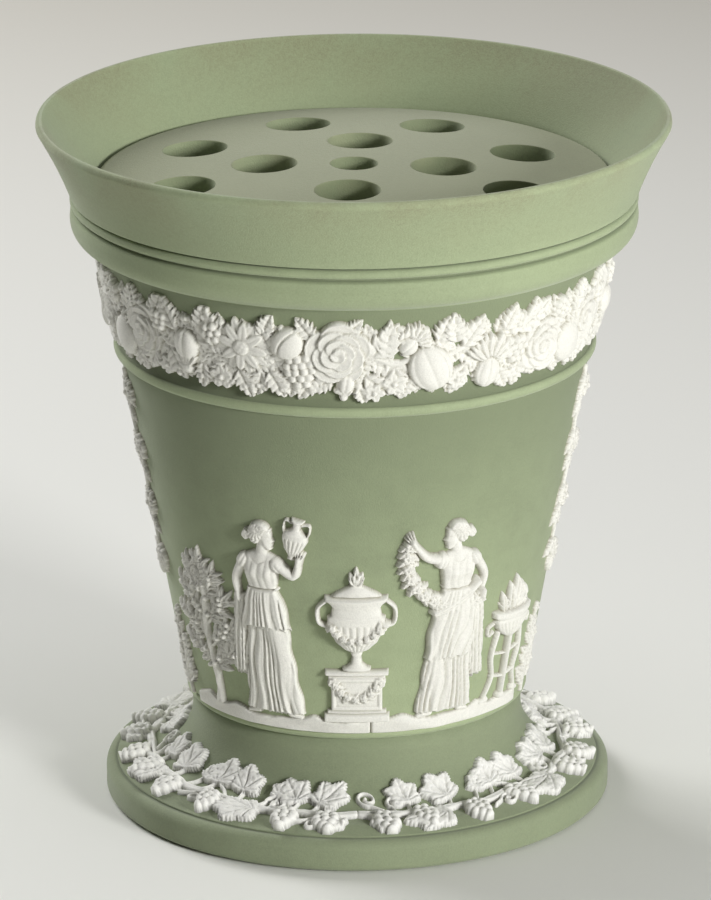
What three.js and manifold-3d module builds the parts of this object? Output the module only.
// A conical jasperware flower vase on a spreading foot, with a lift-out flower frog in its mouth
// and moulded white reliefs (sprigs) applied round the wall and the foot.
// Millimetres, +Z up. The origin is the middle of the foot's resting ring, the front faces -Y.

import * as THREE from "three";
import { mergeVertices } from "three/addons/utils/BufferGeometryUtils.js";
import Module from "manifold-3d";

const wasm = await Module();
wasm.setup();

// Foot
const footHeight = 27.5; // up to the luted joint under the body
const footRadius = 64.5;
const restingRingRadius = 63.8;
const restingRingWidth = 8;
const edgeHeight = 8.2; // height of the rounded edge of the plate
const edgeRounding = 2.4;
const plateRadius = 61.6; // inside the small step of the edge
const plateStep = 0.5;
const plateRise = 1.3; // slope of the plate between the step and the flare
const footFlareRadius = 57; // where the flare runs out on to the plate
const footFlareEasing = 0.4; // how little the flare's corner is cut
const stemRadius = 42;
const stemHeight = 4.5; // straight part of the stem under the joint
const footWall = 5.5;
const ringChamfer = 1; // on the inner edge of the resting ring

// Body
const baseBeadHeight = 2.4;
const baseBeadProud = 1.1;
const wallRadius = 43.45; // at the foot of the wall
const wallHeight = 117.1;
const wallTaper = 0.18; // growth of the radius per height
const bodyWall = 5;
const floorThickness = 5;
const floorFillet = 5;
const lowerBeadDrop = 28; // its middle below the top of the wall
const lowerBeadHeight = 2.9;
const lowerBeadProud = 1.4;
const bandHeight = 9.1;
const bandProud = 5;
const bandShelf = 1.8; // flat underside of the band
const bandArris = 0.2; // sharp edge between the underside and the moulding
const bandCurl = 1.8; // where the moulding leaves the arris, above the shelf
const bandBelly = 5.6; // its widest point above the shelf
const rimBeadHeight = 2.7;
const rimBeadProud = 0.6;
const rimBeadEdge = 0.8; // from the bead's face to the groove above and below
const grooveDepth = 0.7;
const flareHeight = 19.2;
const rimRadius = 79.5;
const flareHollow = 1.1; // how far the flare's outline sags inwards
const lipRounding = 0.9;
const seatChamfer = 0.4; // over the seat of the frog

// Flower frog
const frogSeatDepth = 23.5; // from the rim down to the ledge
const frogEdge = 7.5;
const frogRise = 3.5; // crown of the dome above its edge
const frogThickness = 6;
const frogClearance = 0.6;
const frogFlange = 3.5;
const frogRounding = 2; // of the edge between its side and its dome
const frogTurn = -4; // degrees, how the loose frog happens to lie
const seatRadius = 65.6;
const centreHoleRadius = 5.8;
const stemHoleRadius = 8;
const innerHoles = 4;
const innerPitchRadius = 22.5;
const outerHoles = 8;
const outerPitchRadius = 45;

// Sprigs
const sprigGap = 0.3; // slip line between a sprig and what it lies on
const thinRelief = 1.0;
const midRelief = 1.5;
const boldRelief = 2.0;
const stripGap = 0.4; // between neighbouring strips of a border
const borderStrips = 9;
const borderDrop = 13.7; // middle of the flower border below the top of the wall
const borderHeight = 20.4;
const borderNotch = 3.4; // depth of the notches between the leaf tips
const vineStrips = 8;
const vineAlong = 12; // middle of the vine border along the foot, from the plate's step
const vineHeight = 20;
const vineBranch = 2;
const groundHeight = 3;
const groundHalfAngle = 61.5;
const moundHeight = 1.6;
const maidenHeight = 57;
const urnHeight = 42.6;
const treeHeight = 41;
const brazierHeight = 32.4;
const plantHeight = 23;
const plantAngle = 71; // the low plants stand at the ends of the ground
const dropLength = 58;
const dropAngle = 77; // a drop hangs at each end of both scenes

// Facets
const flats = 32; // round every turned piece
const curveSteps = 3;
const roundingSteps = 2;
const holeFlats = 12;
const berryFlats = 6;
const berryRings = 3;

// Heights and radii worked out from the sizes above
const wallStart = footHeight + baseBeadHeight;
const wallTop = wallStart + wallHeight;
const bandTop = wallTop + bandHeight;
const flareStart = bandTop + rimBeadHeight;
const vaseHeight = flareStart + flareHeight;
const topWallRadius = wallRadius + wallTaper * wallHeight;
const bandRadius = topWallRadius + bandShelf + bandProud;
const ledgeHeight = vaseHeight - frogSeatDepth;
const frogRadius = seatRadius - frogClearance;
const fullTurn = 360;
const outerRadiusAt = (height) => wallRadius + wallTaper * (height - wallStart);
const innerRadiusAt = (height) => outerRadiusAt(height) - bodyWall;

// Materials
const jasper = { color: 0x93a07c, roughness: 0.85, metalness: 0 };
const frogJasper = { color: 0x8a917a, roughness: 0.88, metalness: 0 };
const whiteJasper = { color: 0xe9e7dc, roughness: 0.8, metalness: 0 };

// Profile helpers
const at = (radius, height) => new THREE.Vector2(radius, height);
const radians = THREE.MathUtils.degToRad;

function arc(centre, radius, fromDegrees, toDegrees, steps) {
  const points = [];
  for (let i = 0; i <= steps; i += 1) {
    const angle = radians(fromDegrees + ((toDegrees - fromDegrees) * i) / steps);
    points.push(at(centre.x + radius * Math.cos(angle), centre.y + radius * Math.sin(angle)));
  }
  return points;
}

function bow(from, control, to, steps) {
  return new THREE.QuadraticBezierCurve(from, control, to).getPoints(steps);
}

// Solids
function solidOf(geometry) {
  const bare = geometry.clone();
  bare.deleteAttribute("normal");
  bare.deleteAttribute("uv");
  const merged = mergeVertices(bare, 1e-4);
  const corners = merged.index.array;
  const triVerts = [];
  for (let i = 0; i < corners.length; i += 3) {
    const [a, b, c] = corners.slice(i, i + 3);
    if (a !== b && b !== c && c !== a) triVerts.push(a, b, c);
  }
  const vertProperties = new Float32Array(merged.attributes.position.array);
  return new wasm.Manifold(
    new wasm.Mesh({ numProp: 3, vertProperties, triVerts: new Uint32Array(triVerts) }),
  );
}

function geometryOf(solid) {
  const { vertProperties, triVerts } = solid.getMesh();
  const geometry = new THREE.BufferGeometry();
  geometry.setAttribute("position", new THREE.BufferAttribute(vertProperties, 3));
  geometry.setIndex(new THREE.BufferAttribute(triVerts, 1));
  geometry.computeVertexNormals();
  return geometry;
}

// The profile runs bottom to top on the outside, so that its faces point outwards.
function turned(profile) {
  return solidOf(new THREE.LatheGeometry(profile, flats).rotateX(Math.PI / 2));
}

function union(solids) {
  return solids.reduce((sum, solid) => sum.add(solid));
}

function polar(angle, radius, height) {
  return new THREE.Vector3(radius * Math.sin(angle), -radius * Math.cos(angle), height);
}

// A turned surface that sprigs lie on. Its profile has the surface's outside on its right.
class Seat {
  constructor(profile) {
    this.profile = profile;
    this.normals = profile.map((point, i) => {
      const before = profile[Math.max(i - 1, 0)];
      const after = profile[Math.min(i + 1, profile.length - 1)];
      const run = after.clone().sub(before).normalize();
      return at(run.y, -run.x);
    });
    this.reach = [0];
    for (let i = 1; i < profile.length; i += 1) {
      this.reach.push(this.reach[i - 1] + profile[i].distanceTo(profile[i - 1]));
    }
  }

  offset(height) {
    return this.profile.map((point, i) => point.clone().addScaledVector(this.normals[i], height));
  }

  // The point of the profile at a distance along it, lifted off the surface.
  pointAt(along, lift) {
    const last = this.profile.length - 2;
    let i = 0;
    while (i < last && along > this.reach[i + 1]) i += 1;
    const share = (along - this.reach[i]) / (this.reach[i + 1] - this.reach[i]);
    const low = this.profile[i].clone().addScaledVector(this.normals[i], lift);
    const high = this.profile[i + 1].clone().addScaledVector(this.normals[i + 1], lift);
    return low.lerp(high, share);
  }

  // The solid inside the surface, with the slip line added.
  core() {
    const skin = this.offset(sprigGap);
    const [first, last] = [skin[0], skin.at(-1)];
    const [low, high] = [first.y - 2 * rootDepth, last.y + 2 * rootDepth];
    return turned([at(0, low), at(first.x, low), ...skin, at(last.x, high), at(0, high)]);
  }

  // Bends a flat shape (x along the girth, y along the profile, z off the surface) on to the seat.
  bend(geometry, angle, along) {
    const position = geometry.attributes.position;
    for (let i = 0; i < position.count; i += 1) {
      const reach = along + position.getY(i);
      const spot = this.pointAt(reach, position.getZ(i));
      const placed = polar(angle + position.getX(i) / this.pointAt(reach, 0).x, spot.x, spot.y);
      position.setXYZ(i, placed.x, placed.y, placed.z);
    }
    return geometry;
  }
}

const wallSeat = new Seat([at(wallRadius, wallStart), at(topWallRadius, wallTop)]);
const alongWall = Math.hypot(1, wallTaper); // length along the wall per height

// Flat outlines of the ornament, in millimetres
function turnedBy(points, degrees, [x, y]) {
  const cos = Math.cos(radians(degrees));
  const sin = Math.sin(radians(degrees));
  return points.map(([u, v]) => [x + u * cos - v * sin, y + u * sin + v * cos]);
}

// A vine leaf with three lobes, its stalk at the spot and its tip at the given angle.
function vineLeaf(spot, size, degrees) {
  const side = [[0.08, -0.44], [0.38, -0.28], [0.7, -0.5]]; // by shares of the leaf's length
  const outline = [[0, 0], ...side, [1, 0], ...side.map(([u, v]) => [u, -v]).reverse()];
  return turnedBy(outline.map(([u, v]) => [u * size, v * size]), degrees, spot);
}

// A stretch of a leafy band: leaf tips and the notches between them along both edges.
function leafyBand(from, to, tips, reach, notch) {
  const edge = [];
  for (let i = 0; i <= 2 * tips; i += 1) {
    edge.push([from + ((to - from) * i) / (2 * tips), i % 2 ? reach : notch]);
  }
  return [...edge.map(([u, v]) => [u, -v]), ...edge.reverse()];
}

// The right side of an outline from bottom to top, a tip on the middle line if any, the left side.
function mirroredOutline(side, tip = []) {
  return [...side, ...tip, ...side.map(([u, v]) => [-u, v]).reverse()];
}

// A flower head with rounded or pointed petals.
function blossom([x, y], radius, petals, notch = 0.72) {
  const points = [];
  for (let i = 0; i < 2 * petals; i += 1) {
    const angle = (Math.PI * i) / petals;
    const reach = i % 2 ? radius * notch : radius;
    points.push([x + reach * Math.cos(angle), y + reach * Math.sin(angle)]);
  }
  return points;
}

// A straight stalk, limb or rail that tapers from one end to the other.
function limb([x0, y0], [x1, y1], width0, width1 = width0) {
  const length = Math.hypot(x1 - x0, y1 - y0);
  const across = [-(y1 - y0) / (2 * length), (x1 - x0) / (2 * length)];
  return [
    [x0 - across[0] * width0, y0 - across[1] * width0],
    [x1 - across[0] * width1, y1 - across[1] * width1],
    [x1 + across[0] * width1, y1 + across[1] * width1],
    [x0 + across[0] * width0, y0 + across[1] * width0],
  ];
}

function stalk(spots, width) {
  return spots.slice(1).map((spot, i) => limb(spots[i], spot, width));
}

// Sprig building: plates are flat-faced outlines, domes are rounded swellings.
const rootDepth = 3; // how far a sprig's blank reaches behind its seat before it is trimmed
const layerStep = 0.06; // each outline of a layer stands a little higher than the last

function plate(outline, thickness) {
  const shape = new THREE.Shape(outline.map(([u, v]) => at(u, v)));
  const prism = new THREE.ExtrudeGeometry(shape, { depth: rootDepth + thickness, bevelEnabled: false });
  return solidOf(prism.translate(0, 0, -rootDepth));
}

function dome([u, v, halfWidth, halfHeight, proud]) {
  const ball = new THREE.SphereGeometry(1, berryFlats, berryRings).rotateX(Math.PI / 2);
  return solidOf(ball.scale(halfWidth, halfHeight, proud).translate(u, v, 0));
}

// Layers hold outlines of about one thickness, as [thickness, outlines].
function sprigSolid(seat, degrees, along, { layers, domes = [] }) {
  const plates = layers.flatMap(([thickness, outlines]) => {
    return outlines.map((outline, i) => plate(outline, thickness + layerStep * i));
  });
  const flat = union([...plates, ...domes.map(dome)]);
  const blank = solidOf(seat.bend(geometryOf(flat), radians(degrees), along));
  return blank.subtract(seat.core());
}

// A motif is drawn at one height and scaled to the height that it has on the vase.
function sized({ drawn, layers = [], domes = [] }, height) {
  const scale = height / drawn;
  const grown = (outline) => outline.map(([u, v]) => [u * scale, v * scale]);
  return {
    layers: layers.map(([thickness, outlines]) => [thickness, outlines.map(grown)]),
    domes: domes.map((measures) => measures.map((measure) => measure * scale)),
  };
}

// A wedge of the whole round, to trim a strip to its own share.
function wedge(degrees, halfAngle) {
  const far = 2 * rimRadius;
  const corner = (angle) => at(far * Math.sin(radians(angle)), -far * Math.cos(radians(angle)));
  const shape = new THREE.Shape([at(0, 0), corner(degrees - halfAngle), corner(degrees + halfAngle)]);
  return solidOf(new THREE.ExtrudeGeometry(shape, { depth: vaseHeight, bevelEnabled: false }));
}

// The object
const group = new THREE.Group();

function addPiece(name, solid, finish) {
  const mesh = new THREE.Mesh(geometryOf(solid), new THREE.MeshStandardMaterial(finish));
  mesh.name = name;
  group.add(mesh);
}

// Foot: a spreading hollow foot, its upper side a concave flare from the stem to the plate
const stepHeight = edgeHeight + plateStep;
const footFlareLow = stepHeight + plateRise;
const footFlareHigh = footHeight - stemHeight;
const footFlare = bow(
  at(footFlareRadius, footFlareLow),
  at(stemRadius + footFlareEasing, footFlareLow + footFlareEasing),
  at(stemRadius, footFlareHigh),
  curveSteps,
);
const footSeat = new Seat([at(plateRadius, stepHeight), ...footFlare]);

function footSolid() {
  const edgeCentre = at(footRadius - edgeRounding, edgeHeight - edgeRounding);
  const ringInner = restingRingRadius - restingRingWidth;
  const hollowTop = at(stemRadius - footWall, footFlareHigh);
  const hollowCorner = at(hollowTop.x, footFlareLow - footWall);
  return turned([
    at(restingRingRadius, 0),
    at(footRadius, footRadius - restingRingRadius),
    ...arc(edgeCentre, edgeRounding, 0, 90, roundingSteps),
    at(plateRadius, edgeHeight),
    at(plateRadius, stepHeight),
    ...footFlare,
    at(stemRadius, footHeight),
    at(stemRadius - footWall, footHeight),
    ...bow(hollowTop, hollowCorner, at(ringInner, ringChamfer), curveSteps),
    at(ringInner + ringChamfer, 0),
    at(restingRingRadius, 0),
  ]);
}

addPiece("foot", footSolid(), jasper);

// Body: floor, conical wall, band, rim bead and flaring rim, with the ledge for the frog inside
function halfRound(middle, height, proud) {
  const points = [];
  for (let i = 0; i <= curveSteps; i += 1) {
    const angle = Math.PI * (i / curveSteps - 1 / 2);
    const level = middle + (height / 2) * Math.sin(angle);
    points.push(at(outerRadiusAt(level) + proud * Math.cos(angle), level));
  }
  return points;
}

function bodySolid() {
  const beadRadius = wallRadius - baseBeadProud;
  const baseBead = [];
  for (let i = 0; i <= curveSteps; i += 1) {
    const angle = (Math.PI * i) / curveSteps;
    const level = footHeight + (baseBeadHeight * (1 - Math.cos(angle))) / 2;
    baseBead.push(at(beadRadius + baseBeadProud * Math.sin(angle), level));
  }
  const shelfEdge = at(topWallRadius + bandShelf, wallTop);
  const grooveLow = at(bandRadius - grooveDepth - rimBeadProud, bandTop);
  const grooveHigh = at(bandRadius - grooveDepth, flareStart);
  const flareFoot = at(bandRadius, flareStart + grooveDepth / 2);
  const lipCentre = at(rimRadius - lipRounding, vaseHeight - lipRounding);
  const flareMiddle = flareFoot.clone().lerp(at(rimRadius, lipCentre.y), 1 / 2);
  const floorTop = footHeight + floorThickness;
  const floorCorner = at(innerRadiusAt(floorTop + floorFillet), floorTop + floorFillet);
  return turned([
    at(0, footHeight),
    ...baseBead,
    at(wallRadius, wallStart),
    ...halfRound(wallTop - lowerBeadDrop, lowerBeadHeight, lowerBeadProud),
    at(topWallRadius, wallTop),
    shelfEdge,
    ...bow(
      at(shelfEdge.x, wallTop + bandArris),
      at(bandRadius, wallTop + bandCurl),
      at(bandRadius, wallTop + bandBelly),
      curveSteps,
    ),
    at(bandRadius - rimBeadProud, bandTop - grooveDepth / 2),
    grooveLow,
    at(bandRadius, bandTop + rimBeadEdge),
    at(bandRadius, flareStart - rimBeadEdge),
    grooveHigh,
    ...bow(
      flareFoot,
      at(flareMiddle.x - flareHollow, flareMiddle.y),
      at(rimRadius, lipCentre.y),
      curveSteps,
    ),
    ...arc(lipCentre, lipRounding, 45, 180, curveSteps),
    at(seatRadius + seatChamfer, ledgeHeight + frogEdge),
    at(seatRadius, ledgeHeight + frogEdge - seatChamfer),
    at(seatRadius, ledgeHeight),
    at(innerRadiusAt(ledgeHeight), ledgeHeight),
    ...bow(
      floorCorner,
      at(floorCorner.x, floorTop),
      at(floorCorner.x - floorFillet, floorTop),
      roundingSteps,
    ),
    at(0, floorTop),
  ]);
}

addPiece("vase_body", bodySolid(), jasper);

// Flower frog: a perforated dome whose flange rests on the body's ledge
function frogSolid() {
  const edgeTop = ledgeHeight + frogEdge;
  const crown = (radius) => edgeTop + frogRise * (1 - (radius / frogRadius) ** 2);
  const flangeInner = frogRadius - frogFlange;
  const crownPoints = [frogRadius - frogRounding, frogRadius / 2, 0].map((radius) => {
    return at(radius, crown(radius));
  });
  const blank = turned([
    at(0, crown(0) - frogThickness),
    at(frogRadius / 2, crown(frogRadius / 2) - frogThickness),
    at(flangeInner, crown(flangeInner) - frogThickness),
    at(flangeInner, ledgeHeight),
    at(frogRadius, ledgeHeight),
    at(frogRadius, edgeTop - frogRounding / 2),
    ...crownPoints,
  ]);
  const overshoot = frogClearance; // of a hole's cutter past the frog, above and below
  const depth = frogEdge + frogRise + 2 * overshoot;
  const drill = (radius, pitchRadius, degrees) => {
    const angle = radians(degrees + frogTurn);
    const bit = new THREE.CylinderGeometry(radius, radius, depth, holeFlats).rotateX(Math.PI / 2);
    const spot = polar(angle, pitchRadius, ledgeHeight + depth / 2 - overshoot);
    return solidOf(bit.translate(spot.x, spot.y, spot.z));
  };
  const holes = [drill(centreHoleRadius, 0, 0)];
  for (let i = 0; i < innerHoles; i += 1) {
    holes.push(drill(stemHoleRadius, innerPitchRadius, (fullTurn * i) / innerHoles));
  }
  for (let i = 0; i < outerHoles; i += 1) {
    holes.push(drill(stemHoleRadius, outerPitchRadius, (fullTurn * (i + 1 / 2)) / outerHoles));
  }
  return blank.subtract(union(holes));
}

addPiece("flower_frog", frogSolid(), frogJasper);

// Flower border: strips of flowers, fruit and leaves in one leafy band
const borderAngle = fullTurn / borderStrips;
const borderMiddle = (wallHeight - borderDrop) * alongWall;
const borderHalfLength = radians(borderAngle / 2) * wallSeat.pointAt(borderMiddle, 0).x;
const bandPlates = [-1, 0, 1].map((share) => {
  const middle = (share * 2 * borderHalfLength) / 3;
  const half = borderHalfLength / 3 + stripGap;
  return leafyBand(middle - half, middle + half, 2, borderHeight / 2, borderHeight / 2 - borderNotch);
});

// What stands out of the leaves in each kind of strip: blossoms with their eyes, roses and fruit
const borderFlowers = [
  {
    drawn: 20.4,
    layers: [[boldRelief, [blossom([17, 1.6], 7, 8)]]],
    domes: [[-15, 1, 7.4, 7.4, 2.8], [2, -1.5, 5, 5.6, 2.9], [17, 1.6, 2.6, 2.6, 2.9]],
  },
  {
    drawn: 20.4,
    domes: [[-4, 1.6, 8, 7.6, 3], [-14, -0.6, 4.6, 6.6, 2.6], [15, -1.4, 5.4, 6.6, 2.9]],
  },
  {
    drawn: 20.4,
    layers: [[boldRelief, [blossom([-7, 0.3], 8, 8)]]],
    domes: [[-7, 0.3, 3.2, 3.2, 2.9], [8, -1.4, 6.8, 6.6, 3], [17.6, -0.6, 3.4, 5, 2.7]],
  },
];

for (let i = 0; i < borderStrips; i += 1) {
  const middle = (i - 1) * borderAngle;
  const halfAngle = borderAngle / 2 - THREE.MathUtils.radToDeg(stripGap / 2 / topWallRadius);
  const { layers, domes } = sized(borderFlowers[i % borderFlowers.length], borderHeight);
  const motif = { layers: [[thinRelief, bandPlates], ...layers], domes };
  const strip = sprigSolid(wallSeat, middle, borderMiddle, motif);
  addPiece(`flower_border_${i + 1}`, strip.intersect(wedge(middle, halfAngle)), whiteJasper);
}

// Vine border: strips of vine leaves and grapes on the flare of the foot
const vineAngle = fullTurn / vineStrips;
const vineHalfLength = radians(vineAngle / 2) * footSeat.pointAt(vineAlong, 0).x;

const vineSpray = sized(
  {
    drawn: 20,
    layers: [[midRelief, [vineLeaf([-12, -4], 15.5, 80), vineLeaf([3.4, -4], 14.5, 105)]]],
    domes: [[-3.6, -5, 4, 3.4, 2.6], [13.4, -2.4, 4.6, 4.6, 2.4]],
  },
  vineHeight,
);
const branchSag = vineHeight / 8;
const branchSpots = [
  [-vineHalfLength, -branchSag],
  [0, -branchSag - vineBranch / 2],
  [vineHalfLength, -branchSag],
];
const vineMotif = {
  layers: [[thinRelief, stalk(branchSpots, vineBranch)], ...vineSpray.layers],
  domes: vineSpray.domes,
};

for (let i = 0; i < vineStrips; i += 1) {
  const middle = (i + 1 / 2) * vineAngle;
  const halfAngle = vineAngle / 2 - THREE.MathUtils.radToDeg(stripGap / 2 / stemRadius);
  const strip = sprigSolid(footSeat, middle, vineAlong, vineMotif);
  addPiece(`vine_border_${i + 1}`, strip.intersect(wedge(middle, halfAngle)), whiteJasper);
}

// Figures of the frieze, each with its feet at the origin
const amphoraOutline = [
  [7.4, 45], [11.6, 44.6], [14, 49.5], [11.6, 54], [12, 57], [7.8, 57], [8.2, 54], [5.6, 50],
];
const amphoraMaiden = {
  drawn: 57,
  layers: [
    [
      midRelief,
      [
        [
          [-8, 0], [7.5, 0], [6.4, 12], [4.8, 24], [3.6, 32], [5, 37], [8.6, 39.4], [11.6, 45],
          [11, 47.4], [7.6, 43.6], [4.6, 45.2], [1.8, 47], [1.8, 50], [-0.8, 50], [-1, 47],
          [-4.4, 45.4], [-9.6, 37.4], [-4.6, 30.6], [-5.8, 22], [-7, 12],
        ],
      ],
    ],
    [boldRelief, [amphoraOutline]],
  ],
  domes: [[0.6, 52.4, 3.4, 4, 2.6]],
};

const garlandMaiden = {
  drawn: 57,
  layers: [
    [
      midRelief,
      [
        [
          [-7, 0], [8.4, 0], [7.4, 12], [6, 22], [7.6, 24.6], [11, 24], [11.4, 34], [9.4, 40],
          [5.2, 44.8], [1.2, 47], [1, 50], [-1.6, 50], [-1.8, 47], [-4.4, 46.2], [-10, 48],
          [-12.6, 53.6], [-14.6, 52.8], [-12, 45.6], [-5, 42], [-3.8, 32], [-5, 23], [-6, 12],
        ],
      ],
    ],
    [thinRelief, stalk([[-13, 53], [-14.2, 45], [-12, 37.6], [-4, 34]], 3)],
  ],
  domes: [[-0.6, 52.4, 3.4, 4, 2.6]],
};

const urnSide = [
  [8, 0], [8, 3], [6.4, 4], [6.4, 12.4], [7.8, 13.2], [7.8, 15], [3.4, 15.6], [1.6, 19], [6, 23.6],
  [7.6, 29.6], [8.8, 33.4], [8, 36.6], [5, 36.2], [2, 39.6],
];
const garlandedUrn = {
  drawn: 42.6,
  layers: [[midRelief, [mirroredOutline(urnSide)]]],
  domes: [[0, 28, 6, 5.4, 3], [0, 40.4, 2, 2.2, 2.2]],
};

const treeSide = [
  [1.4, 0], [1, 12], [7, 13.4], [4.6, 18], [10, 20.6], [6.4, 25], [9.4, 29.6], [5.2, 31.6], [6, 37],
  [2.4, 36.4],
];
const laurelTree = { drawn: 41, layers: [[midRelief, [mirroredOutline(treeSide, [[0, 41]])]]] };

const brazierSide = [
  [6.4, 0], [4.6, 19], [7, 22.6], [7.4, 25.6], [3.4, 26.2], [3.6, 30.4], [1.6, 32.4],
];
const betweenLegs = [[-4.8, 0], [-3, 18.6], [3, 18.6], [4.8, 0]];
const tripodBrazier = {
  drawn: 32.4,
  layers: [[midRelief, [[...mirroredOutline(brazierSide), ...betweenLegs]]]],
};

const plantSide = [[0.8, 0], [1, 4], [6.6, 8.4], [1.4, 8.6], [6, 14.6], [1.6, 14.4], [2.8, 19]];
const lowPlant = sized(
  { drawn: 23, layers: [[thinRelief, [mirroredOutline(plantSide, [[0, 23]])]]] },
  plantHeight,
);

// The leaf tips and notches of a drop down its right side and up its left
const dropOutline = [
  [1, 0], [6.2, -5], [2, -12], [7, -20], [2, -25], [6.4, -33], [1.8, -37], [5.4, -45], [1.6, -48],
  [0, -58], [-3.4, -51], [-1.4, -45], [-5.6, -39], [-1.8, -33], [-6.6, -26], [-2, -20], [-7, -12],
  [-2, -6], [-1, 0],
];
const sideDrop = {
  drawn: 58,
  layers: [[thinRelief, [dropOutline]]],
  domes: [[-0.6, -8, 5, 5, 2.4], [-1.4, -24, 4.6, 4.6, 2.4], [0.6, -41, 3.8, 3.8, 2.4]],
};

// Ground strips: low ground at the foot of the wall, with mounds between the figures' feet,
// each by its angle and its half width in heights of the ground
const moundRow = [[-56.5, 1], [-42.8, 1.1], [-13.8, 0.7], [15, 1], [42.3, 0.5]];

function groundSolid(middle) {
  const skin = wallSeat.offset(thinRelief);
  const ring = turned([at(0, wallStart), skin[0], skin[1], at(0, wallTop)]);
  const slab = new THREE.BoxGeometry(4 * wallRadius, 4 * wallRadius, groundHeight);
  slab.translate(0, 0, wallStart + sprigGap + groundHeight / 2);
  const strip = ring.intersect(solidOf(slab)).intersect(wedge(middle, groundHalfAngle));
  const mounds = moundRow.map(([degrees, halfWidth]) => {
    const mound = dome([
      0,
      groundHeight * alongWall,
      halfWidth * groundHeight,
      moundHeight,
      midRelief,
    ]);
    return solidOf(wallSeat.bend(geometryOf(mound), radians(middle + degrees), 0));
  });
  return union([strip, ...mounds]).subtract(wallSeat.core());
}

const friezeFoot = groundHeight * alongWall + 2 * sprigGap;
const friezeRow = [
  ["laurel_tree", sized(laurelTree, treeHeight), -50],
  ["amphora_maiden", sized(amphoraMaiden, maidenHeight), -27],
  ["garlanded_urn", sized(garlandedUrn, urnHeight), 0],
  ["garland_maiden", sized(garlandMaiden, maidenHeight), 29],
  ["tripod_brazier", sized(tripodBrazier, brazierHeight), 53],
];

for (const [side, middle] of [["front", 0], ["back", 180]]) {
  addPiece(`ground_${side}`, groundSolid(middle), whiteJasper);
  for (const [name, motif, degrees] of friezeRow) {
    const solid = sprigSolid(wallSeat, middle + degrees, friezeFoot, motif);
    addPiece(`${name}_${side}`, solid, whiteJasper);
  }
  for (const [end, degrees] of [["left", -plantAngle], ["right", plantAngle]]) {
    const solid = sprigSolid(wallSeat, middle + degrees, sprigGap, lowPlant);
    addPiece(`low_plant_${end}_${side}`, solid, whiteJasper);
  }
}

// Side drops: stems of flowers hanging from under the lower bead, at the ends of the two scenes
const dropTop = (wallHeight - lowerBeadDrop - lowerBeadHeight) * alongWall;
const dropRow = [
  ["side_drop_left", -dropAngle],
  ["side_drop_right", dropAngle],
  ["side_drop_left_back", fullTurn / 2 - dropAngle],
  ["side_drop_right_back", fullTurn / 2 + dropAngle],
];
for (const [name, degrees] of dropRow) {
  const solid = sprigSolid(wallSeat, degrees, dropTop, sized(sideDrop, dropLength));
  addPiece(name, solid, whiteJasper);
}

export default group;
